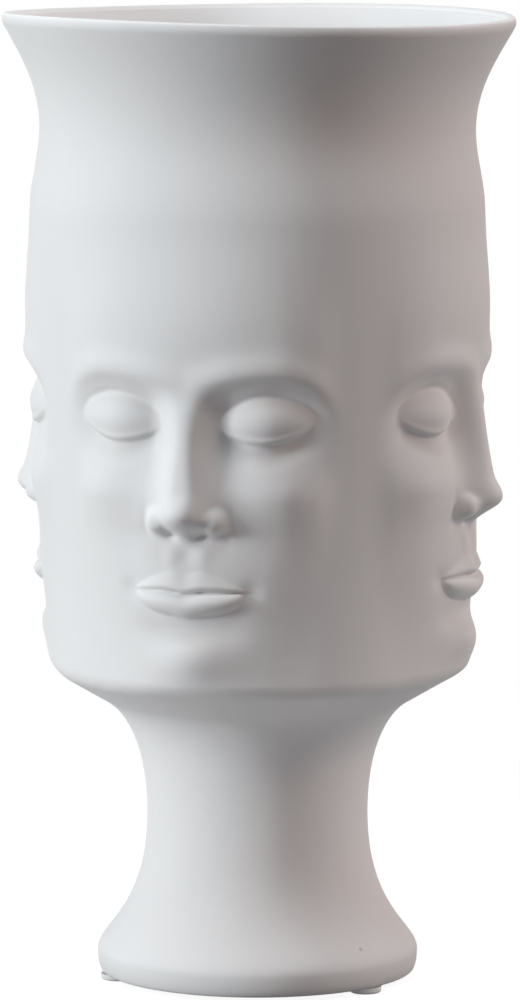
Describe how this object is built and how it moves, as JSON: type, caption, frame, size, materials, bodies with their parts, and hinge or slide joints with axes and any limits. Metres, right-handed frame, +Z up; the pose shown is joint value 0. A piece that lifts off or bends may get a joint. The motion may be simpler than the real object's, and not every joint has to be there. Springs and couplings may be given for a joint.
{
  "type": "face vase",
  "caption": "Matte ceramic pedestal vase with a flared lip, a barrel head ringed by calm faces in relief, a waisted stem and a round foot on translucent bumper pads.",
  "frame": {"origin": "on the vase's axis, in the plane of the pads that it stands on", "axes": "+Z up along the vase's axis; one face looks along -Y and its neighbours along +X, +Y and -X"},
  "size_m": [0.1582, 0.1582, 0.3],
  "materials": {
    "bisque": "matte",
    "glaze": "satin clear glaze",
    "pad": "milky translucent soft polyurethane",
    "adhesive": "clear acrylic film"
  },
  "bodies": {
    "root": {"vase_body": "bisque", "interior_glaze": "glaze", "bumper_pad_left": "pad", "bumper_pad_right": "pad", "bumper_pad_rear": "pad", "pad_adhesive_left": "adhesive", "pad_adhesive_right": "adhesive", "pad_adhesive_rear": "adhesive"}
  },
  "joints": []
}
